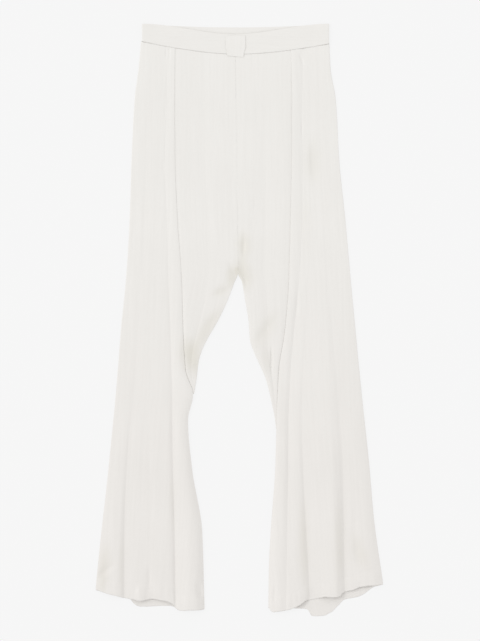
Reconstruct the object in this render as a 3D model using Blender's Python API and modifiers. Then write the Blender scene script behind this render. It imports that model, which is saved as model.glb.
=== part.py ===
"""Low-crotch trousers with flared legs, laid flat with the front up.

The waist is towards +Y, the front faces +Z, and the wearer's right leg is at -X.
Every piece of cloth is a wall lofted through sections across the garment: a section runs
in X and Z, and the sections follow each other down the garment, from the waist to the hem.
"""

import math

import bmesh
import bpy
import numpy as np

# Walls and the air between them, in metres
CLOTH = 0.0011  # one layer of the trouser cloth
BAND_CLOTH = 0.0020  # the waistband, which is two layers sewn together
TAB_CLOTH = 0.0012
SEAM_GAP = 0.0003  # between two sewn edges
LAYER_GAP = 0.0009  # between the back layer and the front one
TUCK_GAP = 0.0004  # between the layers of the pleat
BAND_GAP = 0.0007  # between the back band and the front one
TUCK = 0.0070  # width of leg panel folded under along the pleat

# Heights of each layer's middle surface over what the garment lies on
BACK_Z = CLOTH / 2
FRONT_Z = BACK_Z + CLOTH + LAYER_GAP
TUCK_Z = FRONT_Z + CLOTH + TUCK_GAP
PLEAT_Z = TUCK_Z + CLOTH + TUCK_GAP
BAND_BACK_Z = BAND_CLOTH / 2
BAND_FRONT_Z = BAND_BACK_Z + BAND_CLOTH + BAND_GAP

# Waist: depths are measured down the garment from the top corners of the waistband
WAIST_HALF = 0.1735
BAND_HEIGHT = 0.0324  # at the side seams
FRONT_DIP = 0.0189  # the front band's top edge at its centre
BACK_DIP = 0.0065  # the back band's top edge at its centre
SEAM_DIP = 0.0236  # the front waist seam at its centre
SEAM_BOW = 1.6  # how sharply that seam bows
BAND_CROWN = 0.0006  # the front band is fuller half way down
WAIST_DEPTH = BAND_HEIGHT + SEAM_DIP  # the first row of cloth below the front band
WAIST_FADE = 0.16  # below this depth a row no longer follows the waist seam

# Front tab
TAB_WIDTH = 0.0370
TAB_TOP = 0.0215
TAB_BOTTOM = 0.0605
TAB_PRESSED = 0.0004  # how much its stitched ends are lower than its middle

# Legs
HEM_DEPTH = 1.070  # the last row of the legs before it takes the hem's own line
HEM_FADE = 0.84  # from this depth on a row takes more and more of the hem's line
KNEE_LENGTH = 0.030  # of the stretch where the pleat runs out into the inner edge
TUCK_FADE = 4  # a higher power ends the tuck sooner there, clear of the back layer
CROTCH_LENGTH = 0.030  # of the stretch where the centre seam opens into the inner edges
FOLD_SHARPNESS = 1.25  # 1 gives folds with sharp valleys, 2 round ones
EDGE_OPEN = math.radians(34)  # half of the slit along an inner edge, seen from its bend
BAND_OPEN = math.radians(45)  # the same at the band's side seams
SPARE = 0.0004  # between the last columns of an edge that stays flat
GORE_TIP = 0.0030  # width of the back gore where it ends inside the knee
TIP_GAP = 0.0018  # from the gores' ends to the leg's inner edge

# Mesh columns, and the counts of rows from each stop down the garment to the next
FOLD_STEPS = (5, 5, 5, 6)  # across each of a leg's four folds
LEG_BACK_STEPS = 7
EDGE_STEPS = 3
PLEAT_STEPS = 4
GORE_STEPS = (2, 6, 6)  # under the pleat, and across the gore's two folds
GORE_BACK_STEPS = 5
BAND_STEPS = 12
BAND_ROWS = 5
TAB_STEPS = 4
UPPER_STOP = 0.130
UPPER_COUNTS = (3, 6, 2, 5)
LOWER_STOP = 0.980
LOWER_COUNTS = (1, 3, 5, 4)

# Each row is a section. Distances are outwards from the centre line, and each fold
# of the leg runs from one line to the next: pleat edge, column, middle, side, outer.
LEG_LINES = ("down", "edge", "column", "middle", "side", "outer")
RIGHT_LEG = (
    (0.056, 0.1119, 0.1286, 0.1434, 0.1600, 0.1750),
    (0.097, 0.1122, 0.1292, 0.1438, 0.1618, 0.1803),
    (0.141, 0.1125, 0.1299, 0.1443, 0.1637, 0.1876),
    (0.252, 0.1119, 0.1332, 0.1471, 0.1656, 0.1933),
    (0.363, 0.1073, 0.1267, 0.1499, 0.1693, 0.1970),
    (0.474, 0.0999, 0.1258, 0.1526, 0.1748, 0.2026),
    (0.566, 0.0971, 0.1212, 0.1545, 0.1804, 0.2113),
    (0.640, 0.0925, 0.1193, 0.1563, 0.1859, 0.2177),
    (0.686, 0.0780, 0.1180, 0.1573, 0.1896, 0.2220),
    (0.733, 0.0860, 0.1175, 0.1582, 0.1943, 0.2270),
    (0.825, 0.0780, 0.1156, 0.1582, 0.2017, 0.2362),
    (0.936, 0.0592, 0.1138, 0.1582, 0.2057, 0.2475),
    (1.066, 0.0564, 0.1101, 0.1582, 0.2063, 0.2590),
)
LEFT_LEG = (
    (0.056, 0.1027, 0.1249, 0.1378, 0.1526, 0.1745),
    (0.097, 0.1037, 0.1238, 0.1378, 0.1536, 0.1775),
    (0.141, 0.1045, 0.1230, 0.1378, 0.1545, 0.1874),
    (0.252, 0.1040, 0.1240, 0.1388, 0.1582, 0.1932),
    (0.363, 0.1032, 0.1230, 0.1378, 0.1637, 0.2048),
    (0.474, 0.1014, 0.1175, 0.1341, 0.1711, 0.2150),
    (0.566, 0.0916, 0.1082, 0.1295, 0.1785, 0.2240),
    (0.640, 0.0836, 0.1018, 0.1249, 0.1850, 0.2303),
    (0.733, 0.0773, 0.0977, 0.1221, 0.1896, 0.2396),
    (0.751, 0.0753, 0.0975, 0.1224, 0.1900, 0.2414),
    (0.825, 0.0725, 0.0971, 0.1243, 0.1915, 0.2497),
    (0.936, 0.0629, 0.0953, 0.1286, 0.1928, 0.2585),
    (1.000, 0.0602, 0.0944, 0.1309, 0.1940, 0.2657),
    (1.066, 0.0612, 0.0934, 0.1332, 0.1952, 0.2743),
)

# How high each of those four folds stands, and how high the two of the front gore do
FOLD_LINES = ("down", "column", "middle", "side", "outer", "gore_out", "gore_in")
RIGHT_FOLDS = (
    (0.056, 0.0015, 0.0010, 0.0008, 0.0006, 0.0005, 0.0005),
    (0.141, 0.0018, 0.0018, 0.0012, 0.0010, 0.0010, 0.0012),
    (0.363, 0.0024, 0.0022, 0.0014, 0.0012, 0.0014, 0.0016),
    (0.566, 0.0034, 0.0028, 0.0018, 0.0018, 0.0026, 0.0032),
    (0.684, 0.0044, 0.0034, 0.0024, 0.0024, 0.0000, 0.0000),
    (0.825, 0.0070, 0.0045, 0.0038, 0.0040, 0.0000, 0.0000),
    (0.936, 0.0086, 0.0055, 0.0052, 0.0060, 0.0000, 0.0000),
    (1.066, 0.0100, 0.0052, 0.0066, 0.0076, 0.0000, 0.0000),
)
LEFT_FOLDS = (
    (0.056, 0.0012, 0.0006, 0.0008, 0.0006, 0.0005, 0.0005),
    (0.141, 0.0018, 0.0010, 0.0014, 0.0010, 0.0010, 0.0012),
    (0.363, 0.0028, 0.0014, 0.0022, 0.0014, 0.0014, 0.0018),
    (0.566, 0.0036, 0.0022, 0.0038, 0.0022, 0.0026, 0.0034),
    (0.749, 0.0050, 0.0036, 0.0072, 0.0038, 0.0000, 0.0000),
    (0.825, 0.0060, 0.0042, 0.0092, 0.0050, 0.0000, 0.0000),
    (0.936, 0.0072, 0.0052, 0.0115, 0.0062, 0.0000, 0.0000),
    (1.066, 0.0082, 0.0062, 0.0135, 0.0076, 0.0000, 0.0000),
)

# Inner edge of each gore below the crotch, down to where it runs into the leg's edge
ARCH_LINES = ("down", "edge")
RIGHT_ARCH = (
    (0.461, -0.0046),
    (0.474, 0.0008),
    (0.511, 0.0157),
    (0.548, 0.0322),
    (0.585, 0.0530),
    (0.603, 0.0615),
    (0.622, 0.0675),
    (0.659, 0.0722),
    (0.686, 0.0768),
)
LEFT_ARCH = (
    (0.461, 0.0046),
    (0.474, 0.0107),
    (0.511, 0.0163),
    (0.548, 0.0213),
    (0.585, 0.0263),
    (0.603, 0.0324),
    (0.622, 0.0407),
    (0.659, 0.0568),
    (0.696, 0.0657),
    (0.733, 0.0731),
    (0.751, 0.0749),
)
CROTCH_DEPTH = RIGHT_ARCH[0][0]
CROTCH_X = LEFT_ARCH[0][1]

# Depth of the hem on the front and on the back layer
HEM_LINES = ("out", "front", "back")
RIGHT_HEM = (
    (0.0564, 1.0835, 1.0820),
    (0.0749, 1.0845, 1.0820),
    (0.0934, 1.0860, 1.0830),
    (0.1064, 1.0835, 1.0810),
    (0.1138, 1.0785, 1.0790),
    (0.1249, 1.0712, 1.0780),
    (0.1397, 1.0671, 1.0780),
    (0.1619, 1.0656, 1.0780),
    (0.1748, 1.0680, 1.0775),
    (0.1896, 1.0680, 1.0735),
    (0.2063, 1.0650, 1.0670),
    (0.2248, 1.0600, 1.0610),
    (0.2470, 1.0545, 1.0545),
    (0.2581, 1.0490, 1.0490),
)
LEFT_HEM = (
    (0.0620, 1.0820, 1.0820),
    (0.0694, 1.0890, 1.0870),
    (0.0805, 1.0900, 1.0870),
    (0.1045, 1.0840, 1.0860),
    (0.1193, 1.0770, 1.0860),
    (0.1341, 1.0670, 1.0880),
    (0.1415, 1.0630, 1.0975),
    (0.1582, 1.0610, 1.0985),
    (0.1674, 1.0620, 1.0960),
    (0.1841, 1.0645, 1.0875),
    (0.1970, 1.0600, 1.0760),
    (0.2211, 1.0480, 1.0630),
    (0.2396, 1.0425, 1.0535),
    (0.2738, 1.0370, 1.0370),
)

CLOTH_COLOUR = (0.83, 0.815, 0.785, 1.0)
BAND_COLOUR = (0.82, 0.805, 0.775, 1.0)


def smooth_curve(xs, ys, x):
    """Value at x of the curve through the points that never overshoots them."""
    xs, ys = np.asarray(xs, float), np.asarray(ys, float)
    steps = np.diff(xs)
    slopes = np.diff(ys) / steps
    ends = np.concatenate([[slopes[0]], np.zeros(len(slopes) - 1), [slopes[-1]]])
    for i in range(1, len(slopes)):
        if slopes[i - 1] * slopes[i] > 0:
            before, after = 2 * steps[i] + steps[i - 1], steps[i] + 2 * steps[i - 1]
            ends[i] = (before + after) / (before / slopes[i - 1] + after / slopes[i])
    x = min(max(x, xs[0]), xs[-1])
    i = min(int(np.searchsorted(xs, x, side="right")) - 1, len(steps) - 1)
    t = (x - xs[i]) / steps[i]
    return float(
        ys[i] * (1 + 2 * t) * (1 - t) ** 2
        + ends[i] * steps[i] * t * (1 - t) ** 2
        + ys[i + 1] * t * t * (3 - 2 * t)
        - ends[i + 1] * steps[i] * t * t * (1 - t)
    )


def reader(names, rows):
    """Returns read(column, x), which reads a table by its first column."""
    columns = dict(zip(names, zip(*rows)))
    return lambda column, x: smooth_curve(columns[names[0]], columns[column], x)


def mix(a, b, share):
    return a + (b - a) * share


def eased(low, high, x):
    """0 below low, 1 above high, and a smooth rise between them."""
    t = min(max((x - low) / (high - low), 0.0), 1.0)
    return t * t * (3 - 2 * t)


def spaced(stops, counts):
    """Depths of the rows, with counts[i] of them from each stop to the next."""
    rows = [stops[0]]
    for low, high, count in zip(stops, stops[1:], counts):
        rows += [mix(low, high, (i + 1) / count) for i in range(count)]
    return rows


# Edges of the waistband, as depths at a distance x from the centre line
def across(x):
    return min(abs(x) / WAIST_HALF, 1.0)


def front_top(x):
    return FRONT_DIP * (1 + math.cos(math.pi * across(x))) / 2


def front_seam(x):
    return BAND_HEIGHT + SEAM_DIP * (1 - across(x) ** SEAM_BOW)


def back_top(x):
    return BACK_DIP * (1 - across(x) ** 2)


def back_seam(x):
    return BAND_HEIGHT + back_top(x)


def centre_seam_x(row):
    """The centre front and centre back seams lean a little towards the crotch."""
    return CROTCH_X * eased(WAIST_DEPTH, CROTCH_DEPTH, row)


class Side:
    """One side of the trousers: its tables and the depths that its cloth follows."""

    def __init__(self, sign, lines, folds, arch, hem):
        self.sign = sign
        self.line = reader(LEG_LINES, lines)
        self.fold = reader(FOLD_LINES, folds)
        self.arch = reader(ARCH_LINES, arch)
        self.hem = reader(HEM_LINES, hem)
        self.knee = arch[-1][0]
        tip, below_knee = self.knee - TIP_GAP, self.knee + KNEE_LENGTH
        open_crotch = CROTCH_DEPTH + CROTCH_LENGTH
        upper = (WAIST_DEPTH, UPPER_STOP, CROTCH_DEPTH, open_crotch, tip)
        lower = (tip, self.knee, below_knee, LOWER_STOP, HEM_DEPTH)
        self.gore_depths = spaced(upper, UPPER_COUNTS)
        self.leg_depths = self.gore_depths + spaced(lower, LOWER_COUNTS)[1:]

    def back_seam(self, row):
        """Where the back seam runs, which leaves the back gore a little width at its tip."""
        return max(self.line("edge", row), self.arch("edge", row) + EDGE_INSET + GORE_TIP)

    def place(self, row, out, height, face):
        """A point of the front or back layer, with its depth bent to the waist and hem."""
        x = self.sign * out
        seam = front_seam(x) if face == "front" else back_seam(x)
        at_waist = 1 - eased(WAIST_DEPTH, WAIST_FADE, row)
        at_hem = eased(HEM_FADE, HEM_DEPTH, row)
        from_waist = seam + SEAM_GAP - WAIST_DEPTH
        from_hem = self.hem(face, out) - HEM_DEPTH
        return (x, -(row + at_waist * from_waist + at_hem * from_hem), height)


EDGE_BEND = (FRONT_Z - BACK_Z) / 2  # radius of an edge that joins front and back
EDGE_Z = (FRONT_Z + BACK_Z) / 2
EDGE_INSET = EDGE_BEND + CLOTH / 2
PLEAT_BEND = (PLEAT_Z - TUCK_Z) / 2
PLEAT_INSET = PLEAT_BEND + CLOTH / 2
QUARTER = math.pi / 2


def bend(centre, height, radius, angles, towards):
    """Points round an edge at some angles, bulging outwards at +1 or inwards at -1."""
    return [
        (centre + towards * radius * math.cos(a), height + radius * math.sin(a))
        for a in angles
    ]


def turn(first, last, steps):
    return [mix(first, last, i / steps) for i in range(steps + 1)]


def blend(points, others, share):
    """Points part of the way from those of one list to those of the other."""
    return [(mix(a, c, share), mix(b, d, share)) for (a, b), (c, d) in zip(points, others)]


def closing_edge(flat_end, bent_edge, height, share):
    """An edge that is flat at share 0, and at 1 turned to meet the other layer's."""
    upward = 1 if height > EDGE_Z else -1
    flat = [(flat_end + SPARE * i, height) for i in range(EDGE_STEPS, -1, -1)]
    angles = turn(upward * QUARTER, upward * EDGE_OPEN, EDGE_STEPS)
    bent = bend(bent_edge + EDGE_INSET, EDGE_Z, EDGE_BEND, angles, -1)
    return blend(flat, bent, share)


def pleat_edge(side, row):
    """The leg panel's edge: folded under along the pleat, turned down below the knee."""
    share = eased(side.knee, side.knee + KNEE_LENGTH, row)
    radius = mix(PLEAT_BEND, EDGE_BEND, share)
    centre = side.line("edge", row) + radius + CLOTH / 2
    top = mix(PLEAT_Z, FRONT_Z, share)
    folded = turn(-QUARTER, QUARTER, PLEAT_STEPS)
    step = (QUARTER - EDGE_OPEN) / (PLEAT_STEPS + 1)
    opened = turn(EDGE_OPEN + step, QUARTER, PLEAT_STEPS)
    angles = [mix(a, b, share) for a, b in zip(folded, opened)]
    points = bend(centre, top - radius, radius, angles, -1)
    length = mix(step * EDGE_BEND, TUCK, (1 - share) ** TUCK_FADE)
    (out, z), start = points[0], angles[0]
    tuck = (out - length * math.sin(start), z - length * math.cos(start))
    return [tuck] + points


def arched(lines, heights, rises, counts):
    """Points across folds that arch up by their rises from each line to the next."""
    points = []
    for i, (rise, steps) in enumerate(zip(rises, counts)):
        for step in range(1, steps + 1):
            t = step / steps
            arch = max(math.sin(math.pi * t), 0.0) ** FOLD_SHARPNESS
            height = mix(heights[i], heights[i + 1], t) + rise * arch
            points.append((mix(lines[i], lines[i + 1], t), height))
    return points


def leg_front(side, row, start):
    """The front of the leg, from its pleat or inner edge to its outer edge."""
    first, height = start
    middle = [side.line(name, row) for name in ("column", "middle", "side")]
    lines = [first, *middle, side.line("outer", row) - EDGE_INSET]
    rises = [side.fold(name, row) for name in ("column", "middle", "side", "outer")]
    return arched(lines, [height] + [FRONT_Z] * 4, rises, FOLD_STEPS)


def leg_back(side, row):
    """Round the outer edge and back under the leg, to the back seam or the inner edge."""
    outer = side.line("outer", row) - EDGE_INSET
    angles = turn(QUARTER, -QUARTER, EDGE_STEPS)
    turned = bend(outer, EDGE_Z, EDGE_BEND, angles, 1)[1:]
    share = eased(side.knee, side.knee + KNEE_LENGTH, row)
    seam = side.back_seam(row) + SEAM_GAP / 2
    tail = closing_edge(seam, side.line("edge", row), BACK_Z, share)
    under = [(mix(outer, tail[0][0], t), BACK_Z) for t in turn(0, 1, LEG_BACK_STEPS)]
    return turned + under[1:-1] + tail


def leg_rows(side):
    """Rows of points of a leg panel's middle surface, from the waist to the hem."""
    rows = []
    for row in side.leg_depths:
        edge = pleat_edge(side, row)
        front = edge + leg_front(side, row, edge[-1])
        rows.append(
            [side.place(row, out, z, "front") for out, z in front]
            + [side.place(row, out, z, "back") for out, z in leg_back(side, row)]
        )
    return rows


def gore_inner_edge(side, row, height):
    """The centre seam, which opens into the inner edge of the leg below the crotch."""
    seam = side.sign * centre_seam_x(row) + SEAM_GAP / 2
    share = eased(CROTCH_DEPTH, CROTCH_DEPTH + CROTCH_LENGTH, row)
    return closing_edge(seam, side.arch("edge", row), height, share)


def front_gore_rows(side):
    """Rows of the front gore, from under the pleat to its inner edge."""
    rows = []
    for row in side.gore_depths:
        tail = gore_inner_edge(side, row, FRONT_Z)
        inner, edge = tail[0][0], side.line("edge", row)
        outer = edge + PLEAT_INSET + TUCK
        pleat = max(edge, mix(inner, outer, 0.4))
        lines = [outer, pleat, mix(pleat, inner, 0.5), inner]
        rises = [0.0, side.fold("gore_out", row), side.fold("gore_in", row)]
        across_it = arched(lines, [FRONT_Z] * 4, rises, GORE_STEPS)
        points = [(outer, FRONT_Z)] + across_it + tail[1:]
        rows.append([side.place(row, out, z, "front") for out, z in points])
    return rows


def back_gore_rows(side):
    """Rows of the back gore, flat from the back seam to its inner edge."""
    rows = []
    for row in side.gore_depths:
        tail = gore_inner_edge(side, row, BACK_Z)
        outer = side.back_seam(row) - SEAM_GAP / 2
        flat = [(mix(outer, tail[0][0], t), BACK_Z) for t in turn(0, 1, GORE_BACK_STEPS)]
        points = flat[:-1] + tail
        rows.append([side.place(row, out, z, "back") for out, z in points])
    return rows


BAND_BEND = (BAND_FRONT_Z - BAND_BACK_Z) / 2
BAND_MID_Z = (BAND_FRONT_Z + BAND_BACK_Z) / 2


def band_rows(first_x, last_x, top, bottom, height, crown, ends):
    """Rows of a waistband from top to bottom, turned to the side seam at its named ends."""
    inset = BAND_BEND + BAND_CLOTH / 2
    up = 1 if height > BAND_MID_Z else -1
    left, right = "left" in ends, "right" in ends
    start = first_x + inset if left else first_x
    stop = last_x - inset if right else last_x
    line = [(mix(start, stop, t), height) for t in turn(0, 1, BAND_STEPS)]
    angles = turn(up * BAND_OPEN, up * QUARTER, EDGE_STEPS)
    if left:
        line = bend(start, BAND_MID_Z, BAND_BEND, angles, -1)[:-1] + line
    if right:
        line += bend(stop, BAND_MID_Z, BAND_BEND, angles[::-1], 1)[1:]
    rows = []
    for i in range(BAND_ROWS):
        share = i / (BAND_ROWS - 1)
        full = crown * math.sin(math.pi * share)
        rows.append(
            [
                (x, -mix(top(x), bottom(x), share), z + full * (1 - across(x) ** 4))
                for x, z in line
            ]
        )
    return rows


def tab_rows():
    """The front band's own points under the tab, moved out to lie on the band."""
    on_band = BAND_FRONT_Z + BAND_CLOTH / 2 + BAND_CROWN + SEAM_GAP + TAB_CLOTH / 2
    rows = []
    for i in range(TAB_STEPS + 2):
        share = i / (TAB_STEPS + 1)
        raised = on_band + TAB_PRESSED * math.sin(math.pi * share)
        rows.append(
            [
                (
                    TAB_WIDTH * (j / TAB_STEPS - 0.5),
                    -mix(TAB_TOP, TAB_BOTTOM, share),
                    raised,
                )
                for j in range(TAB_STEPS + 1)
            ]
        )
    return rows


def make_material(name, colour, roughness):
    material = bpy.data.materials.new(name)
    material.use_nodes = True
    shader = material.node_tree.nodes["Principled BSDF"]
    shader.inputs["Base Color"].default_value = colour
    shader.inputs["Roughness"].default_value = roughness
    shader.inputs["Metallic"].default_value = 0.0
    material.diffuse_color = colour
    return material


def sew(name, rows, wall, material, collection):
    """Makes one piece of cloth: a grid moved to its rows of points, thickened to a wall."""
    rows_of_faces, columns_of_faces = len(rows) - 1, len(rows[0]) - 1
    shape = bmesh.new()
    bmesh.ops.create_grid(
        shape, x_segments=columns_of_faces, y_segments=rows_of_faces, size=0.5
    )
    for vertex in shape.verts:
        column = round((vertex.co.x + 0.5) * columns_of_faces)
        row = round((vertex.co.y + 0.5) * rows_of_faces)
        vertex.co = rows[row][column]
    bmesh.ops.recalc_face_normals(shape, faces=shape.faces)
    mesh = bpy.data.meshes.new(name)
    shape.to_mesh(mesh)
    shape.free()
    mesh.shade_smooth()
    mesh.materials.append(material)
    piece = bpy.data.objects.new(name, mesh)
    collection.objects.link(piece)
    thickness = piece.modifiers.new("wall", "SOLIDIFY")
    thickness.thickness = wall
    thickness.offset = 0.0
    return piece


def centre_on_origin(pieces):
    """Moves the whole garment so that its box stands centred on the origin."""
    bpy.context.view_layer.update()
    graph = bpy.context.evaluated_depsgraph_get()
    corners = np.array([c for p in pieces for c in p.evaluated_get(graph).bound_box])
    middle = (corners.min(axis=0) + corners.max(axis=0)) / 2
    for piece in pieces:
        piece.location = (-middle[0], -middle[1], -corners[:, 2].min())


def main():
    for obj in list(bpy.data.objects):
        bpy.data.objects.remove(obj)
    garment = bpy.data.collections.new("trousers")
    bpy.context.scene.collection.children.link(garment)
    cloth = make_material("trouser_cloth", CLOTH_COLOUR, 0.55)
    band = make_material("band_cloth", BAND_COLOUR, 0.6)

    sides = {
        "right": Side(-1, RIGHT_LEG, RIGHT_FOLDS, RIGHT_ARCH, RIGHT_HEM),
        "left": Side(1, LEFT_LEG, LEFT_FOLDS, LEFT_ARCH, LEFT_HEM),
    }
    pieces = []
    for name, side in sides.items():
        cut = {
            "leg_panel": leg_rows(side),
            "front_gore": front_gore_rows(side),
            "back_gore": back_gore_rows(side),
        }
        for piece, rows in cut.items():
            pieces.append(sew(f"{name}_{piece}", rows, CLOTH, cloth, garment))

    half_gap = SEAM_GAP / 2
    bands = {
        "waistband_front_right": band_rows(
            -WAIST_HALF, -half_gap, front_top, front_seam, BAND_FRONT_Z, BAND_CROWN, ("left",)
        ),
        "waistband_front_left": band_rows(
            half_gap, WAIST_HALF, front_top, front_seam, BAND_FRONT_Z, BAND_CROWN, ("right",)
        ),
        "waistband_back": band_rows(
            -WAIST_HALF, WAIST_HALF, back_top, back_seam, BAND_BACK_Z, 0.0, ("left", "right")
        ),
    }
    for name, rows in bands.items():
        pieces.append(sew(name, rows, BAND_CLOTH, band, garment))
    pieces.append(sew("front_tab", tab_rows(), TAB_CLOTH, band, garment))
    centre_on_origin(pieces)


main()
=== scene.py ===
# Off-white satin trousers with a low gored crotch and flared legs, laid flat with the front up.
# x runs from the centre line towards the wearer's left leg, "out" from it to either side, and
# "down" from the top corners of the waistband towards the hems. The tables are in millimetres.

import bpy
import math
import numpy as np
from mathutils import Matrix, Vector


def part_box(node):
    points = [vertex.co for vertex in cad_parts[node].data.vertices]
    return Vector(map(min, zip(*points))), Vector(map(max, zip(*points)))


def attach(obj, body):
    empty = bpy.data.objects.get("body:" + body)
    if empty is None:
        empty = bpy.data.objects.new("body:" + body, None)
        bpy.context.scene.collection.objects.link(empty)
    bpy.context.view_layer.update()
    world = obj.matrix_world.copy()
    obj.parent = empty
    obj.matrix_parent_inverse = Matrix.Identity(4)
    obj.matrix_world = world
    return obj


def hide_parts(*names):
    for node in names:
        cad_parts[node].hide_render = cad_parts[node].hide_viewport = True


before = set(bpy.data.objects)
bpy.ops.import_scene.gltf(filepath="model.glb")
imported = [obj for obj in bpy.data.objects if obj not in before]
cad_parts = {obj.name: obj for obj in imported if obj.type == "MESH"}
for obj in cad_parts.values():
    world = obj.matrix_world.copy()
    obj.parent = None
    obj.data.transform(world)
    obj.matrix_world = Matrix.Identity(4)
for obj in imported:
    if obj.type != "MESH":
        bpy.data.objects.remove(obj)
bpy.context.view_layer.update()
bpy.ops.object.select_all(action="DESELECT")
print("frame loaded:", len(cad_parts), "nodes")

mm = 0.001
tabLow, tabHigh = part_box("front_tab")
centreX = (tabLow.x + tabHigh.x) / 2
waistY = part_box("waistband_back")[1].y


# small helpers for curves and sections; every value may be an array of one number a row
def curve(xs, ys):
    xs, ys = np.asarray(xs, float), np.asarray(ys, float)
    steps = np.diff(xs)
    slopes = np.diff(ys) / steps
    ends = np.zeros(len(xs))
    ends[0], ends[-1] = slopes[0], slopes[-1]
    for i in range(1, len(slopes)):
        if slopes[i - 1] * slopes[i] > 0:
            before, after = 2 * steps[i] + steps[i - 1], steps[i] + 2 * steps[i - 1]
            ends[i] = (before + after) / (before / slopes[i - 1] + after / slopes[i])

    def read(x):
        x = np.clip(x, xs[0], xs[-1])
        i = np.clip(np.searchsorted(xs, x, side="right") - 1, 0, len(steps) - 1)
        t = (x - xs[i]) / steps[i]
        fromLeft = ys[i] * (1 + 2 * t) * (1 - t) ** 2 + ends[i] * steps[i] * t * (1 - t) ** 2
        fromRight = ys[i + 1] * t * t * (3 - 2 * t) - ends[i + 1] * steps[i] * t * t * (1 - t)
        return fromLeft + fromRight

    return read


def mix(a, b, share):
    return a + (b - a) * share


def eased(low, high, x):
    t = np.clip((x - low) / (high - low), 0, 1)
    return t * t * (3 - 2 * t)


def turn(first, last, steps):
    return [mix(first, last, i / steps) for i in range(steps + 1)]


def spaced(stops, counts):
    rows = [stops[0]]
    for low, high, count in zip(stops, stops[1:], counts):
        rows += [mix(low, high, (i + 1) / count) for i in range(count)]
    return np.array(rows)


def bend(centre, height, radius, angles, towards):
    return [(centre + towards * radius * np.cos(a), height + radius * np.sin(a)) for a in angles]


def arch(t, peak, steep):
    # 0 at both ends and 1 at the ridge, which stands at the share "peak" of the way
    if t < peak:
        return 1 - (1 - t / peak) ** steep[0]
    return 1 - ((t - peak) / (1 - peak)) ** steep[1]


# The cloth as it lies: heights of each layer's middle surface, and sizes that the pieces share
cloth = {
    "wall": 0.32,
    "backZ": 0.3,
    "frontZ": 2.55,
    "tuckZ": 3.7,
    "pleatZ": 4.6,
    "pressedTuckZ": 2.94,  # where the pleat lies pressed on the gore
    "pressedPleatZ": 3.36,
    "clearance": 0.06,
    "hollow": 0.35,  # the least room over the back where that lies flat
    "backCrease": 0.8,  # and the most that the back rises
    "tuck": 7.0,
    "tuckFade": 4,
    "pastTuck": 0.5,
    "seamGap": 0.1,
    "spare": 0.4,  # between the last columns of an edge that lies flat
    "slit": math.radians(18),  # half of the slit along an inner edge, seen from its bend
    "kneeLength": 17.0,  # over this the pleat turns into the inner edge of the tube
    "crotchLength": 24.0,  # and the centre seam into the inner edge of the gores
    "goreTip": 3.0,  # the least width of a back gore beyond its bend
    "tipGap": 1.8,  # how far above the knee the gores end
    "waistDepth": 56.0,  # from here to waistFade the rows bow with the waist seam
    "waistFade": 160.0,
    "hemFade": 840.0,  # and from here to hemDepth with the hem
    "hemDepth": 1070.0,
    "crotchDepth": 453.0,
    "foldFade": 4.0,  # over this the creases grow from a fold or seam, an edge and a pleat
    "edgeFade": 5.0,
    "pleatFade": 3.0,
    "sameHeight": 0.001,
}

# how finely the pieces are divided
meshSteps = {
    "tuck": 4,
    "bend": 8,
    "column": 28,
    "middle": 24,
    "side": 28,
    "outer": 26,
    "back": 32,
    "edge": 6,
    "gore": 26,
    "goreUnder": 4,
    "goreBack": 22,
    "nearValleys": 0.6,  # how much closer the columns of a fold stand at its valleys
    "upperStops": (56.0, 84.0, 130.0, 453.0, 480.0),
    "upperCounts": (13, 12, 76, 12, 46),
    "lowerStops": (980.0, 1045.0, 1070.0),
    "lowerCounts": (1, 12, 58, 22, 12),
    "bandAcross": 150,
    "bandDown": 14,
    "bandTurn": 4,
    "tabDown": 33,
    "tabAcross": 30,
    "topFaces": 200,  # the highest faces, which tell which way a piece faces
}

waistband = {
    "half": 173.5,
    "height": 32.4,
    "frontDip": 18.9,
    "backDip": 6.5,
    "seamDip": 23.6,
    "seamBow": 1.6,
    "seamTilt": 4.2,  # how much lower the front seam ends on the wearer's left
    "wall": 1.0,
    "backZ": 0.6,
    "sideZ": 3.6,  # height of its front at its sides, and in the middle at its two edges
    "topZ": 2.1,
    "seamZ": 2.9,
    "sideLength": 34.0,
    "sideTurn": math.radians(34),  # where its rounded sides end, seen from their bend
    "crown": 0.5,
    "crownFullness": 0.7,
    "crownEnds": 6,
    "wave": 0.1,  # the slow unevenness along it: height, width and lean
    "waveWidth": 23.0,
    "waveLean": 2.0,
    "roll": 0.27,  # radius of its edges
}


def across(x):
    return np.minimum(np.abs(x) / waistband["half"], 1.0)


def frontTop(x):
    return waistband["frontDip"] * (1 + np.cos(np.pi * across(x))) / 2


def frontSeam(x):
    bow = waistband["seamDip"] * (1 - across(x) ** waistband["seamBow"])
    return waistband["height"] + bow + waistband["seamTilt"] * np.clip(x / waistband["half"], 0, 1)


def backTop(x):
    return waistband["backDip"] * (1 - across(x) ** 2)


def backSeam(x):
    return waistband["height"] + backTop(x)


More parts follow.
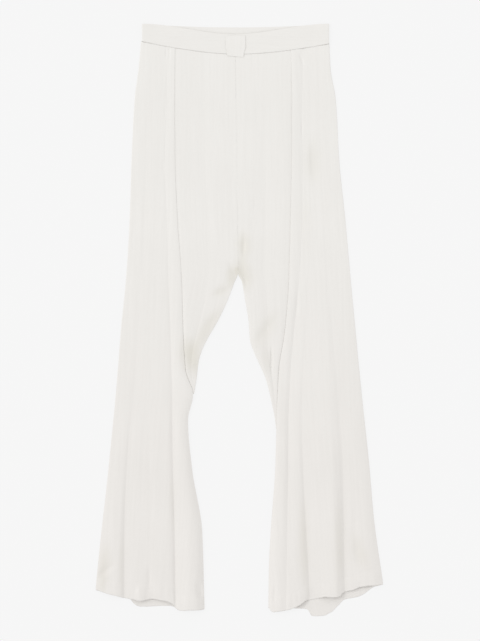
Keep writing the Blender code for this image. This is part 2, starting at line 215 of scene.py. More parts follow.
# Each fold of a leg runs from one line to the next: edge, column, middle, side, outer.
# Heights are those of the lines over the flat cloth, and rises those of the folds between.
# archEdge is the leg's inner edge between crotch and knee, and hemFront and hemBack are how
# far down the two hems hang at each hemOut.
rightLeg = {
    "sign": -1,
    "down": (56, 97, 141, 252, 363, 474, 566, 640, 686, 733, 825, 936, 1066),
    "edge": (111.9, 112.2, 112.5, 111.9, 107.3, 99.9, 97.1, 92.5, 78.4, 87.8, 79.9, 61.4, 57.2),
    "column": (
        128.6, 127.5, 126.7, 131.0, 127.0, 124.2, 120.4,
        118.6, 117.6, 117.4, 115.8, 112.8, 111.2,
    ),
    "middle": (
        143.4, 143.8, 144.3, 147.1, 149.9, 152.6, 154.5,
        156.3, 157.3, 158.2, 158.2, 158.2, 158.2,
    ),
    "side": (160.0, 161.8, 163.7, 165.6, 169.3, 174.8, 180.4, 185.9, 189.6, 194.3, 201.7, 205.7, 206.3),
    "outer": (
        174.6, 179.3, 186.6, 192.3, 196.0, 202.8, 212.0,
        217.8, 221.6, 226.0, 235.3, 246.8, 258.6,
    ),
    "foldDown": (56, 141, 363, 566, 684, 825, 936, 1066),
    "columnHeight": (0.0, 0.0, 0.0, 0.0, 0.0, 0.0, 0.0, 0.0),
    "middleHeight": (0.4, 0.5, 0.8, 1.4, 2.0, 2.4, 2.4, 1.6),
    "sideHeight": (0.4, 0.5, 0.7, 1.0, 1.2, 1.2, 0.3, 0.1),
    "columnRise": (0.2, 0.4, 0.7, 1.8, 3.0, 4.4, 6.8, 9.2),
    "middleRise": (0.1, 0.2, 0.3, 0.9, 1.5, 2.4, 3.2, 3.0),
    "sideRise": (0.1, 0.1, 0.2, 0.3, 0.4, 0.6, 0.8, 1.2),
    "outerRise": (0.2, 0.3, 0.4, 0.5, 0.8, 1.8, 3.4, 5.0),
    "goreOutRise": (0.2, 0.4, 0.6, 1.8, 1.8, 0.0, 0.0, 0.0),
    "goreInRise": (0.2, 0.4, 0.8, 0.6, 0.3, 0.0, 0.0, 0.0),
    "pleatDown": (56, 250, 400, 520, 640, 686),
    "pleatOpen": (0.0, 0.0, 0.0, 0.1, 0.35, 0.2),
    "peaks": {"column": 0.42, "middle": 0.2, "side": 0.5, "outer": 0.26, "goreOut": 0.25, "goreIn": 0.3},
    "archDown": (461, 474, 511, 548, 585, 603, 622, 659, 686),
    "archEdge": (-4.6, 0.3, 14.3, 31.8, 53.0, 61.5, 67.5, 72.2, 76.8),
    "hemOut": (
        56.4, 67.5, 86.0, 95.3, 104.5, 110.1, 115.6, 121.2, 126.7, 137.8,
        154.5, 165.6, 176.7, 187.8, 193.3, 206.3, 221.1, 235.9, 250.7, 258.1,
    ),
    "hemFront": (
        1082.4, 1083.4, 1083.4, 1084.6, 1083.9, 1081.0, 1073.5, 1070.0, 1067.7, 1065.5,
        1063.1, 1064.9, 1066.8, 1064.5, 1063.4, 1061.4, 1057.2, 1053.8, 1048.8, 1047.0,
    ),
    "hemBack": (
        1080.5, 1081.0, 1081.0, 1082.0, 1081.5, 1079.5, 1077.6, 1076.4, 1076.4, 1076.4,
        1077.2, 1077.8, 1077.6, 1073.2, 1063.6, 1061.0, 1056.8, 1053.4, 1048.6, 1047.0,
    ),
}
leftLeg = {
    "sign": 1,
    "down": (56, 97, 141, 252, 363, 474, 566, 640, 733, 751, 825, 936, 1000, 1066),
    "edge": (102.7, 103.7, 104.5, 104.0, 101.8, 98.8, 91.6, 80.4, 75.8, 75.3, 73.2, 64.9, 61.6, 60.6),
    "column": (
        124.9, 123.8, 123.0, 124.0, 123.0, 117.5, 108.2,
        101.8, 97.7, 97.5, 97.1, 95.3, 94.4, 93.4,
    ),
    "middle": (
        137.8, 137.8, 137.8, 138.8, 137.8, 134.1, 129.5,
        124.9, 122.1, 122.4, 124.6, 130.4, 134.0, 137.0,
    ),
    "side": (
        152.6, 153.6, 154.5, 158.2, 163.7, 171.1, 178.5,
        186.5, 193.0, 194.0, 197.4, 200.0, 200.8, 202.0,
    ),
    "outer": (
        173.5, 175.8, 185.4, 191.9, 203.3, 213.2, 222.0,
        229.0, 238.6, 240.6, 248.3, 257.2, 264.2, 272.8,
    ),
    "foldDown": (56, 141, 363, 566, 749, 825, 936, 1066),
    "columnHeight": (0.0, 0.0, 0.0, 0.0, 0.0, 0.6, 2.4, 4.6),
    "middleHeight": (0.4, 0.4, 0.8, 1.4, 1.8, 1.6, 0.6, 0.0),
    "sideHeight": (0.4, 0.5, 1.0, 1.4, 1.0, 0.4, 0.0, 0.0),
    "columnRise": (0.2, 0.7, 0.8, 1.2, 1.6, 2.4, 2.8, 2.6),
    "middleRise": (0.1, 0.2, 0.3, 0.6, 1.4, 2.2, 3.0, 3.6),
    "sideRise": (0.1, 0.2, 0.4, 1.4, 3.4, 5.6, 7.6, 9.0),
    "outerRise": (0.2, 0.3, 0.4, 0.7, 1.4, 2.2, 3.2, 4.6),
    "goreOutRise": (0.2, 0.8, 1.2, 1.4, 0.8, 0.0, 0.0, 0.0),
    "goreInRise": (0.2, 0.5, 0.8, 1.8, 1.0, 0.0, 0.0, 0.0),
    "pleatDown": (56, 120, 250, 400, 500, 560, 620, 751),
    "pleatOpen": (0.0, 0.4, 0.2, 0.1, 0.3, 0.4, 0.2, 0.1),
    "peaks": {"column": 0.6, "middle": 0.7, "side": 0.76, "outer": 0.72, "goreOut": 0.3, "goreIn": 0.62},
    "archDown": (461, 474, 511, 548, 585, 603, 622, 659, 696, 733, 751),
    "archEdge": (4.6, 11.0, 17.5, 23.8, 26.8, 32.4, 40.7, 56.8, 65.7, 73.1, 74.9),
    "hemOut": (
        62.0, 65.7, 69.4, 78.6, 87.9, 97.1, 106.4, 115.6, 121.2, 126.7,
        132.3, 136.0, 139.7, 148.9, 160.0, 165.6, 171.1, 176.7, 182.2, 187.8,
        193.3, 198.9, 208.1, 217.4, 226.6, 235.9, 245.1, 254.4, 273.8,
    ),
    "hemFront": (
        1080.0, 1085.3, 1087.5, 1086.2, 1084.9, 1083.1, 1080.1, 1076.0, 1072.7, 1068.3,
        1065.7, 1065.4, 1065.0, 1063.5, 1060.6, 1059.0, 1059.4, 1059.6, 1059.5, 1059.0,
        1057.3, 1051.8, 1048.8, 1046.8, 1042.4, 1040.0, 1038.7, 1038.3, 1037.0,
    ),
    "hemBack": (
        1079.0, 1083.0, 1085.0, 1084.0, 1083.0, 1081.5, 1080.6, 1081.4, 1081.5, 1081.6,
        1081.7, 1087.3, 1094.7, 1095.6, 1094.9, 1094.3, 1090.6, 1089.2, 1084.0, 1077.7,
        1072.3, 1066.0, 1062.9, 1061.6, 1059.5, 1055.5, 1048.8, 1041.7, 1037.0,
    ),
}

# How round each fold is before and after its ridge: 1 is a straight slope, more is a flatter top
fullness = {
    "column": (2.2, 1.6),
    "middle": (2.2, 1.8),
    "side": (1.1, 1.4),
    "outer": (2.0, 1.8),
    "goreOut": (2.0, 1.7),
    "goreIn": (1.8, 2.0),
}

# The centre seams lean a little to the crotch, and the front one lies over a slight swell
centreSeam = {
    "atCrotch": 4.6,
    "gap": 0.03,
    "down": (56, 120, 252, 363, 410, 461),
    "height": (0.1, 0.5, 1.0, 1.4, 1.4, 0.6),
}


def tableReader(leg):
    # each list of places, with the columns that are read by it
    columns = {
        "down": ("edge", "column", "middle", "side", "outer"),
        "foldDown": tuple(name for name in leg if name.endswith(("Height", "Rise"))),
        "pleatDown": ("pleatOpen",),
        "archDown": ("archEdge",),
        "hemOut": ("hemFront", "hemBack"),
    }
    return {name: curve(leg[by], leg[name]) for by, names in columns.items() for name in names}


seamHeight = curve(centreSeam["down"], centreSeam["height"])
for leg in (rightLeg, leftLeg):
    leg["read"] = tableReader(leg)
    leg["knee"] = leg["archDown"][-1]

edgeBend = (cloth["frontZ"] - cloth["backZ"]) / 2
edgeZ = (cloth["frontZ"] + cloth["backZ"]) / 2
edgeInset = edgeBend + cloth["wall"] / 2
bandBend = (waistband["sideZ"] - waistband["backZ"]) / 2
bandInset = bandBend + waistband["wall"] / 2
quarter = math.pi / 2


def legDepths(leg):
    # the rows down to the knee, where the gores end, and those from there to the hem
    tip = leg["knee"] - cloth["tipGap"]
    upper = spaced(meshSteps["upperStops"] + (tip,), meshSteps["upperCounts"])
    stops = (tip, leg["knee"], leg["knee"] + cloth["kneeLength"]) + meshSteps["lowerStops"]
    return upper, spaced(stops, meshSteps["lowerCounts"])


def pleatHeights(leg, down):
    free = leg["read"]["pleatOpen"](down)
    tuckZ = mix(cloth["pressedTuckZ"], cloth["tuckZ"], free)
    return tuckZ, mix(cloth["pressedPleatZ"], cloth["pleatZ"], free)


def closingEdge(flatEnd, bentEdge, height, share):
    # flat at share 0, and at 1 turned to meet the other layer's edge half way up
    upward = 1 if height > edgeZ else -1
    steps = meshSteps["edge"]
    angles = turn(upward * quarter, upward * cloth["slit"], steps)
    bent = bend(bentEdge + edgeInset, edgeZ, edgeBend, angles, -1)
    flat = [flatEnd + cloth["spare"] * i for i in range(steps, -1, -1)]
    return [(mix(f, out, share), mix(height, z, share)) for f, (out, z) in zip(flat, bent)]


def foldedAcross(leg, folds, counts, lines, heights, rises):
    # one fold after another, each from one line to the next
    columns = []
    for i, (fold, count) in enumerate(zip(folds, counts)):
        for step in range(1, count + 1):
            crowded = (1 - math.cos(math.pi * step / count)) / 2
            t = mix(step / count, crowded, meshSteps["nearValleys"])
            rise = rises[i] * arch(t, leg["peaks"][fold], fullness[fold])
            columns.append((mix(lines[i], lines[i + 1], t), mix(heights[i], heights[i + 1], t) + rise))
    return columns


def backSeamOut(leg, down):
    read = leg["read"]
    return np.maximum(read["edge"](down), read["archEdge"](down) + edgeInset + cloth["goreTip"])


def legColumns(leg, down):
    # the tuck and its pleat, the folded front, then the outer turn and the back
    read = leg["read"]
    opened = eased(leg["knee"], leg["knee"] + cloth["kneeLength"], down)
    tuckZ, pleatZ = pleatHeights(leg, down)
    radius = mix((pleatZ - tuckZ) / 2, edgeBend, opened)
    top = mix(pleatZ, cloth["frontZ"], opened)
    centre = read["edge"](down) + radius + cloth["wall"] / 2
    steps = meshSteps["bend"]
    gap = (quarter - cloth["slit"]) / (steps + 1)
    pleated = turn(-quarter, quarter, steps)
    spread = turn(cloth["slit"] + gap, quarter, steps)
    angles = [mix(folded, unfolded, opened) for folded, unfolded in zip(pleated, spread)]
    turned = bend(centre, top - radius, radius, angles, -1)
    length = mix(gap * edgeBend, cloth["tuck"], (1 - opened) ** cloth["tuckFade"])
    (out, z), start = turned[0], angles[0]
    tuck = [
        (out - length * np.sin(start) * share, z - length * np.cos(start) * share)
        for share in turn(1, 0, meshSteps["tuck"])[:-1]
    ]
    folds = ("column", "middle", "side", "outer")
    outer = read["outer"](down) - edgeInset
    lines = [turned[-1][0]] + [read[name](down) for name in folds[:3]] + [outer]
    heights = [turned[-1][1]] + [cloth["frontZ"] + read[name + "Height"](down) for name in folds[:3]]
    heights.append(cloth["frontZ"] + 0 * down)
    rises = [read[name + "Rise"](down) for name in folds]
    front = foldedAcross(leg, folds, [meshSteps[name] for name in folds], lines, heights, rises)
    outerTurn = bend(outer, edgeZ, edgeBend, turn(quarter, -quarter, steps), 1)[1:]
    seam = backSeamOut(leg, down) + cloth["seamGap"] / 2
    tail = closingEdge(seam, read["edge"](down), cloth["backZ"], opened)
    flatZ = cloth["backZ"] + 0 * down
    under = [(mix(outer, tail[0][0], t), flatZ) for t in turn(0, 1, meshSteps["back"])]
    return tuck + turned, front, outerTurn + under[1:-1] + tail


# A gore's folds flatten where it narrows to its tip
gore = {
    "pastTuck": 1.2,  # how far it reaches beyond the tuck
    "foldShare": 0.4,  # the least share of its width that its folds take
    "middleHeight": 0.5,  # height between its folds, as a share of the seam's
    "flatWidth": 2,
    "fullWidth": 26,
}


def crotchOpened(down):
    return eased(cloth["crotchDepth"], cloth["crotchDepth"] + cloth["crotchLength"], down)


def goreEdge(leg, down, height):
    # along the centre seam, and below the crotch along the leg's inner edge
    leaned = leg["sign"] * centreSeam["atCrotch"] * eased(cloth["waistDepth"], cloth["crotchDepth"], down)
    seam = leaned + centreSeam["gap"] / 2
    return closingEdge(seam, leg["read"]["archEdge"](down), height, crotchOpened(down))


def frontGoreColumns(leg, down):
    read = leg["read"]
    tail = goreEdge(leg, down, cloth["frontZ"])
    inner, edge = tail[0][0], read["edge"](down)
    outer = edge + cloth["tuck"] + gore["pastTuck"]
    pleat = np.maximum(edge, mix(inner, outer, gore["foldShare"]))
    flatZ = cloth["frontZ"] + 0 * down
    seamZ = flatZ + seamHeight(down) * (1 - crotchOpened(down))
    width = eased(gore["flatWidth"], gore["fullWidth"], pleat - inner)
    middleZ = flatZ + seamHeight(down) * gore["middleHeight"] * width
    folds = ("goreOut", "goreOut", "goreIn")
    counts = [meshSteps["goreUnder"], meshSteps["gore"], meshSteps["gore"]]
    lines = [outer, pleat, mix(pleat, inner, 0.5), inner]
    rises = [0 * down, read["goreOutRise"](down) * width, read["goreInRise"](down) * width]
    folded = foldedAcross(leg, folds, counts, lines, [flatZ, flatZ, middleZ, seamZ], rises)
    raised = seamZ - flatZ
    return [(outer, flatZ)] + folded + [(out, z + raised) for out, z in tail[1:]]


def backGoreColumns(leg, down):
    tail = goreEdge(leg, down, cloth["backZ"])
    outer = backSeamOut(leg, down) - cloth["seamGap"] / 2
    flatZ = cloth["backZ"] + 0 * down
    flat = [(mix(outer, tail[0][0], t), flatZ) for t in turn(0, 1, meshSteps["goreBack"])]
    return flat[:-1] + tail


def depthOf(leg, down, out, face):
    # a row bows with the waist seam near the top and with the hem near the foot
    x = leg["sign"] * out
    seam = frontSeam(x) if face == "front" else backSeam(x)
    hemLine = leg["read"]["hemFront" if face == "front" else "hemBack"](out)
    atWaist = 1 - eased(cloth["waistDepth"], cloth["waistFade"], down)
    atHem = eased(cloth["hemFade"], cloth["hemDepth"], down)
    toSeam = atWaist * (seam + cloth["seamGap"] - cloth["waistDepth"])
    return down + toSeam + atHem * (hemLine - cloth["hemDepth"])


# Creases of the front: from x and down to x and down, width and height (a trough is negative).
# A seventh number, from -1 to 1, makes one that runs down wider towards lower or higher x.
creases = (
    (-128.6, 46, -128.6, 62, 2.0, -0.7),  # the right leg
    (-121.0, 42, -120.0, 66, 6.5, -0.8),
    (-130.4, 152, -130.4, 170, 1.8, -0.5),
    (-134.0, 252, -134.0, 280, 2.5, -0.6),
    (-252.0, 1020, -228.0, 1001, 7.0, -2.4),
    (-160.5, 1000, -159.0, 1054, 4.4, -1.4),
    (-161.0, 1004, -158.0, 1050, 9.0, -0.9),
    (-168.0, 1043, -146.0, 1044, 1.7, -0.6),
    (-176.0, 1040, -175.0, 1085, 10.0, 4.0),
    (-70.0, 1030, -61.0, 1066, 7.0, -2.6),
    (-96.0, 604, -76.0, 626, 9.0, -1.4),  # the right gore
    (-84.0, 631, -70.0, 632, 1.6, 0.7),
    (-58.0, 564, -36.0, 540, 7.0, -1.2),
    (-42.0, 500, -8.0, 489, 6.0, -1.5),
    (-14.0, 438, 0.0, 466, 5.5, -1.6),
    (14.6, 390, 14.0, 434, 4.2, -2.2),  # the left gore
    (9.0, 432, 20.0, 490, 6.5, -2.2),
    (23.0, 498, 35.0, 499, 1.8, -0.9),
    (34.8, 308, 33.4, 364, 1.5, -0.9),
    (40.0, 196, 36.0, 308, 1.4, -0.25),
    (32.0, 360, 31.0, 386, 1.5, -0.6),
    (34.0, 592, 74.0, 544, 8.0, -1.6),
    (66.6, 590, 66.0, 652, 2.2, -2.4),
    (58.0, 645, 72.0, 650, 2.2, -0.8),
    (102.7, 48, 102.7, 64, 1.8, -0.6),  # the left leg
    (124.0, 45, 138.0, 53, 4.0, -0.8),
    (117.0, 53, 126.0, 78, 2.5, -1.2),
    (122.5, 176, 122.5, 214, 1.5, -0.7),
    (141.0, 222, 145.0, 292, 9.5, -1.9, 0.3),
    (112.8, 500, 112.8, 540, 4.0, -0.8),
    (213.0, 921, 229.0, 922, 2.0, -0.8),
    (219.0, 922, 219.5, 948, 2.8, -0.7),
    (221.0, 955, 227.0, 1004, 6.0, -1.6),
    (228.0, 1026, 229.5, 1050, 2.4, -1.2),
    (242.0, 1010, 270.0, 1008, 3.2, -1.1),
    (72.0, 1036, 72.0, 1072, 2.6, -1.2),
    (150.0, 1036, 150.0, 1120, 15.0, -4.5),
)

# Creases of the back in the same way, pressed up from the floor
backCreases = (
    (-120.0, 60, -126.0, 210, 3.0, 0.5),
    (118.0, 64, 122.0, 180, 3.0, 0.45),
    (-40.0, 330, -92.0, 480, 6.0, 0.7),
    (44.0, 320, 84.0, 455, 5.0, 0.65),
    (-16.0, 380, -8.0, 440, 4.0, 0.6),
    (22.0, 395, 14.0, 450, 4.0, 0.6),
    (-128.0, 560, -122.0, 760, 5.0, 0.7),
    (-160.0, 690, -168.0, 960, 6.0, 0.8),
    (-96.0, 820, -88.0, 1050, 5.0, 0.8),
    (-214.0, 860, -222.0, 1020, 5.0, 0.6),
    (120.0, 610, 128.0, 800, 5.0, 0.7),
    (158.0, 740, 170.0, 1040, 7.0, 0.8),
    (204.0, 800, 216.0, 1000, 5.0, 0.7),
    (92.0, 880, 86.0, 1050, 4.0, 0.7),
    (146.0, 230, 150.0, 300, 6.0, 0.4),
)

# A crease fades over each end, by some of its widths or a share of its length if that is more,
# and is narrower there
creaseEnd = {"widths": 1.5, "share": 0.42, "narrowing": 0.45}

# Lengthwise ripples of the satin, each row with the width of a ripple, its height and its wander
ripples = {
    "rows": ((31.0, 0.14, 9.0), (19.0, 0.10, 6.0), (12.5, 0.07, 4.0), (8.0, 0.04, 3.0)),
    "seed": 11,
    "together": 3,
    "radians": 6.28,  # one whole wave
    "swell": 0.45,
    "swellLength": (240, 620),
    "wanderLength": (500, 900),
    "widths": (0.8, 1.25),
    "waistFade": 30,
    "backSoftness": 0.1,
}

hem = {
    "pressed": 0.9,  # how far the front hem's edge is pressed down
    "pressedLength": 14.0,
    "turned": 27.0,
    "turnedStep": 1.5,
    "fullness": 0.3,
    "stitchWidth": 1.3,
    "stitchDepth": 0.35,
    "pucker": 0.22,
    "puckerWidth": 2.1,
    "puckerWander": 1.7,
    "wanderWidth": 9.0,
    "puckerFade": 8,
}


def strokesAt(x, depth, rows):
    # the sum of soft strokes, such as the creases
    total = np.zeros_like(x)
    for fromX, fromDown, toX, toDown, width, height, *leans in rows:
        lean = sum(leans)
        length = math.hypot(toX - fromX, toDown - fromDown)
        alongX, alongDown = (toX - fromX) / length, (toDown - fromDown) / length
        along = (x - fromX) * alongX + (depth - fromDown) * alongDown
        aside = (x - fromX) * alongDown - (depth - fromDown) * alongX
        fade = max(creaseEnd["widths"] * width, creaseEnd["share"] * length)
        ends = eased(-width, fade, along) * eased(-width, fade, length - along)
        wide = width * np.where(aside > 0, 1 + lean, 1 - lean)
        wide = wide * (1 - creaseEnd["narrowing"] * (1 - ends))
        total += height * np.exp(-((aside / wide) ** 2)) * ends
    return total


def rippleLift(x, depth):
    chance = np.random.default_rng(ripples["seed"])
    radians = ripples["radians"]
    lift = np.zeros_like(x)
    for width, height, wander in ripples["rows"]:
        for _ in range(ripples["together"]):
            phase = chance.uniform(0, radians)
            period = chance.uniform(*ripples["swellLength"])
            drift = chance.uniform(0, radians)
            swell = mix(1, np.sin(radians * depth / period + drift), ripples["swell"])
            bendX = wander * np.sin(radians * depth / chance.uniform(*ripples["wanderLength"]) + phase)
            wide = width * chance.uniform(*ripples["widths"])
            lift += height / ripples["together"] * swell * np.sin(radians * (x + bendX) / wide + phase)
    return lift


def stitchLine(toHem):
    return hem["stitchDepth"] * np.exp(-(((toHem - hem["turned"]) / hem["stitchWidth"]) ** 2))


def keptAbove(z, floorZ, softness=0.3):
    over = z - floorZ
    return floorZ + (over + np.sqrt(over * over + softness * softness)) / 2


def finishFront(leg, out, z, depth, share, floorZ):
    # share is how far the cloth is free to crease, and floorZ the lowest that its middle may lie
    x = leg["sign"] * out
    free = eased(0, ripples["waistFade"], depth - frontSeam(x))
    toHem = leg["read"]["hemFront"](out) - depth
    doubled = 1 - eased(hem["turned"] - hem["turnedStep"], hem["turned"] + hem["turnedStep"], toHem)
    puckers = np.sin(x / hem["puckerWidth"] + hem["puckerWander"] * np.sin(x / hem["wanderWidth"]))
    pucker = hem["pucker"] * puckers * doubled * eased(0, hem["puckerFade"], toHem)
    pressed = hem["pressed"] * (1 - eased(0, hem["pressedLength"], toHem))
    change = strokesAt(x, depth, creases) + rippleLift(x, depth) * free
    change = change + pucker - stitchLine(toHem) + hem["fullness"] * doubled - pressed
    return np.where(share > 0, mix(z, keptAbove(z + change, floorZ), share), z)


def finishBack(leg, out, z, depth, share):
    # the back lies on the floor, so its creases and ripples only rise from it
    x = leg["sign"] * out
    ripple = keptAbove(rippleLift(x, depth), 0, ripples["backSoftness"])
    stitch = stitchLine(leg["read"]["hemBack"](out) - depth)
    lift = strokesAt(x, depth, backCreases) + ripple + stitch
    return z + share * np.minimum(lift, cloth["backCrease"])


# Two tints lie over the satin. The rosy one, a little darker and warmer, grows with how far down it is. The
# painted shade is laid on the front in strokes, the rows below
tints = {"rosy": (0.905, 0.87, 0.865, 1.0), "paintedShade": (0.885, 0.875, 0.825, 1.0)}
rosyAt = curve((0, 300, 560, 800, 1050), (0.0, 0.02, 0.14, 0.3, 0.36))

# Painted shade: the satin is painted deeper and warmer where the front lies in shade, in its hollows,
# pockets and folds. Rows as for a crease, with the tint's share last
paintedShadeStrokes = (
    (14.0, 384, 16.0, 438, 12.0, 0.6),  # at the crotch
    (1.8, 450, 5.0, 466, 4.0, 1.0),
    (8.0, 432, 21.0, 492, 14.0, 0.75),
    (-8.0, 446, -7.0, 490, 9.0, 0.65),
    (-42.0, 500, -10.0, 487, 9.0, 0.4),
    (-92.0, 584, -72.0, 646, 18.0, 0.8),  # in the pockets at the knees
    (-22.0, 520, -84.0, 610, 12.0, 0.5),
    (78.0, 530, 36.0, 600, 14.0, 0.35),
    (54.0, 590, 60.0, 650, 9.0, 0.25),
    (143.0, 214, 145.0, 296, 15.0, 0.27),  # on the left hip
    (126.0, 300, 130.0, 440, 14.0, 0.12),
    (-238.0, 950, -250.0, 1070, 11.0, 0.5),  # towards the hems
    (-210.0, 930, -211.0, 1070, 5.0, 0.2),
    (-118.0, 820, -115.0, 960, 5.0, 0.15),
    (124.0, 860, 128.0, 1060, 9.0, 0.4),
    (190.0, 860, 193.0, 1060, 10.0, 0.3),
    (214.0, 940, 244.0, 1010, 14.0, 0.3),
)


def tintShares(x, depth, z):
    # the painted shade from the strokes above, on the front layer only
    paintedShade = np.where(z > edgeZ, strokesAt(x, depth, paintedShadeStrokes), 0)
    return {"rosy": rosyAt(depth), "paintedShade": np.clip(paintedShade, 0, 1)}


def smoothAcross(z, first, last, passes=2):
    for _ in range(passes):
        inner = z[:, first + 1 : last - 1]
        beside = z[:, first : last - 2] + z[:, first + 2 : last]
        z[:, first + 1 : last - 1] = inner / 2 + beside / 4
    return z


def table(columns, down):
    flat = [[np.broadcast_to(value, down.shape) for value in column] for column in columns]
    return np.stack([c[0] for c in flat], axis=1), np.stack([c[1] for c in flat], axis=1)


def sewSheet(name, x, depth, z, wall, cutAlong=False):
    # one piece of cloth: a grid moved to its points, with its cut as UV, then thickened
    rows, columns = x.shape
    bpy.ops.mesh.primitive_grid_add(x_subdivisions=columns - 1, y_subdivisions=rows - 1, size=1)
    piece = bpy.context.object
    piece.name = name
    mesh = piece.data
    mesh.name = name
    co = np.zeros(len(mesh.vertices) * 3)
    mesh.vertices.foreach_get("co", co)
    co = co.reshape(-1, 3)
    column = np.rint((co[:, 0] + 0.5) * (columns - 1)).astype(int)
    row = np.rint((co[:, 1] + 0.5) * (rows - 1)).astype(int)
    points = np.stack([centreX + x * mm, waistY - depth * mm, z * mm], axis=-1)
    mesh.vertices.foreach_set("co", points[row, column].ravel())
    steps = np.linalg.norm(np.diff(points, axis=1), axis=-1)
    u = np.concatenate([np.zeros((rows, 1)), np.cumsum(steps, axis=1)], axis=1)
    u -= u.mean(axis=1, keepdims=True)
    v = -depth * mm
    loops = np.zeros(len(mesh.loops), int)
    mesh.loops.foreach_get("vertex_index", loops)
    layer = mesh.uv_layers.active or mesh.uv_layers.new(name="cut")
    layer.name = "cut"
    cut = [u[row, column][loops], v[row, column][loops]]
    if cutAlong:
        cut.reverse()
    layer.data.foreach_set("uv", np.stack(cut, axis=-1).ravel())
    # the rosy tint and the painted shade, kept as point attributes for the material
    for tint, shares in tintShares(x, depth, z).items():
        mesh.attributes.new(tint, "FLOAT", "POINT").data.foreach_set("value", shares[row, column])
    mesh.update()
    normals = np.zeros(len(mesh.polygons) * 3)
    mesh.polygons.foreach_get("normal", normals)
    centres = np.zeros(len(mesh.polygons) * 3)
    mesh.polygons.foreach_get("center", centres)
    topmost = np.argsort(centres[2::3])[-meshSteps["topFaces"] :]
    if normals[2::3][topmost].mean() < 0:
        mesh.flip_normals()
    area = sum(p.area for p in mesh.polygons)
    length = np.linalg.norm(np.diff(points, axis=0), axis=-1).sum(axis=0).max()
    thicken = piece.modifiers.new("wall", "SOLIDIFY")
    thicken.thickness = wall * mm
    thicken.offset = 0.0
    bpy.ops.object.modifier_apply(modifier="wall")
    bpy.ops.object.shade_smooth()
    bpy.ops.object.select_all(action="DESELECT")
    piece["cut"] = [float(steps.sum(axis=1).max()), float(length), float(area)]
    return piece


def roundEdges(piece, width):
    bpy.context.view_layer.objects.active = piece
    piece.select_set(True)
    soft = piece.modifiers.new("edges", "BEVEL")
    soft.width = width * mm
    soft.segments = 3
    soft.limit_method = "ANGLE"
    soft.angle_limit = math.radians(60)
    bpy.ops.object.modifier_apply(modifier="edges")
    bpy.ops.object.shade_smooth()
    bpy.ops.object.select_all(action="DESELECT")
    return piece


def sewLeg(leg, name):
    read = leg["read"]
    upper, lower = legDepths(leg)
    down = np.concatenate([upper, lower[1:]])
    pleat, front, under = legColumns(leg, down)
    frontOut, frontZ = table(pleat + front, down)
    backOut, backZ = table(under, down)
    rows = down[:, None]
    frontDepth = depthOf(leg, rows, frontOut, "front")
    backDepth = depthOf(leg, rows, backOut, "back")
    frontZ = smoothAcross(frontZ, len(pleat), frontZ.shape[1])
    outer = read["outer"](rows) - edgeInset
    fromPleat = frontOut - frontOut[:, len(pleat) - 1 : len(pleat)]
    free = eased(0, cloth["foldFade"], fromPleat) * eased(0, cloth["edgeFade"], outer - frontOut)
    free[:, : len(pleat)] = 0
    opened = eased(leg["knee"], leg["knee"] + cloth["kneeLength"], rows)
    beyond = eased(cloth["tuck"] + cloth["pastTuck"], cloth["tuck"] + cloth["foldFade"], fromPleat)
    lowest = cloth["backZ"] + cloth["wall"] + cloth["hollow"]
    onTuck = pleatHeights(leg, rows)[0] + cloth["wall"] + cloth["clearance"]
    floorZ = mix(lowest, onTuck, (1 - opened) * (1 - beyond))
    frontZ = finishFront(leg, frontOut, frontZ, frontDepth, free, floorZ)
    innerEnd = mix(backSeamOut(leg, rows), read["edge"](rows) + edgeInset, opened)
    free = eased(0, cloth["foldFade"], outer - backOut) * eased(0, cloth["foldFade"], backOut - innerEnd)
    flat = np.abs(backZ - cloth["backZ"]) < cloth["sameHeight"]
    backZ = np.where(flat, finishBack(leg, backOut, backZ, backDepth, free), backZ)
    out = np.hstack([frontOut, backOut])
    depth, z = np.hstack([frontDepth, backDepth]), np.hstack([frontZ, backZ])
    return sewSheet(name, leg["sign"] * out, depth, z, cloth["wall"])


def sewFrontGore(leg, name):
    down = legDepths(leg)[0]
    out, z = table(frontGoreColumns(leg, down), down)
    rows = down[:, None]
    depth = depthOf(leg, rows, out, "front")
    z = smoothAcross(z, meshSteps["goreUnder"] + 1, z.shape[1] - meshSteps["edge"])
    fromEdge = eased(0, cloth["edgeFade"], out - leg["read"]["archEdge"](rows) - edgeInset)
    free = eased(0, cloth["pleatFade"], leg["read"]["edge"](rows) - out)
    free = free * mix(1, fromEdge, crotchOpened(rows))
    lowest = cloth["backZ"] + cloth["wall"] + cloth["hollow"]
    z = finishFront(leg, out, z, depth, free, lowest)
    return sewSheet(name, leg["sign"] * out, depth, z, cloth["wall"])


def sewBackGore(leg, name):
    down = legDepths(leg)[0]
    out, z = table(backGoreColumns(leg, down), down)
    rows = down[:, None]
    depth = depthOf(leg, rows, out, "back")
    fade = cloth["foldFade"]
    free = eased(0, fade, backSeamOut(leg, rows) - out)
    free = free * eased(0, fade, out - leg["read"]["archEdge"](rows) - edgeInset)
    free = free * eased(0, fade, out - centreSeam["atCrotch"])
    flat = np.abs(z - cloth["backZ"]) < cloth["sameHeight"]
    z = np.where(flat, finishBack(leg, out, z, depth, free), z)
    return sewSheet(name, leg["sign"] * out, depth, z, cloth["wall"])


def frontBandZ(x, share, sideZ):
    # sloping from its seam down to its top edge, and at full height where it turns at the sides
    fromSide = waistband["half"] - waistband["sideLength"]
    atSide = eased(fromSide, waistband["half"] - bandInset, np.abs(x))
    slope = mix(waistband["topZ"], waistband["seamZ"], share)
    rounded = np.sin(np.pi * share)
    crown = waistband["crown"] * rounded ** waistband["crownFullness"]
    crown = crown * (1 - across(x) ** waistband["crownEnds"])
    wave = np.sin(x / waistband["waveWidth"] + waistband["waveLean"] * share)
    return mix(slope, sideZ, atSide) + crown + waistband["wave"] * wave * rounded


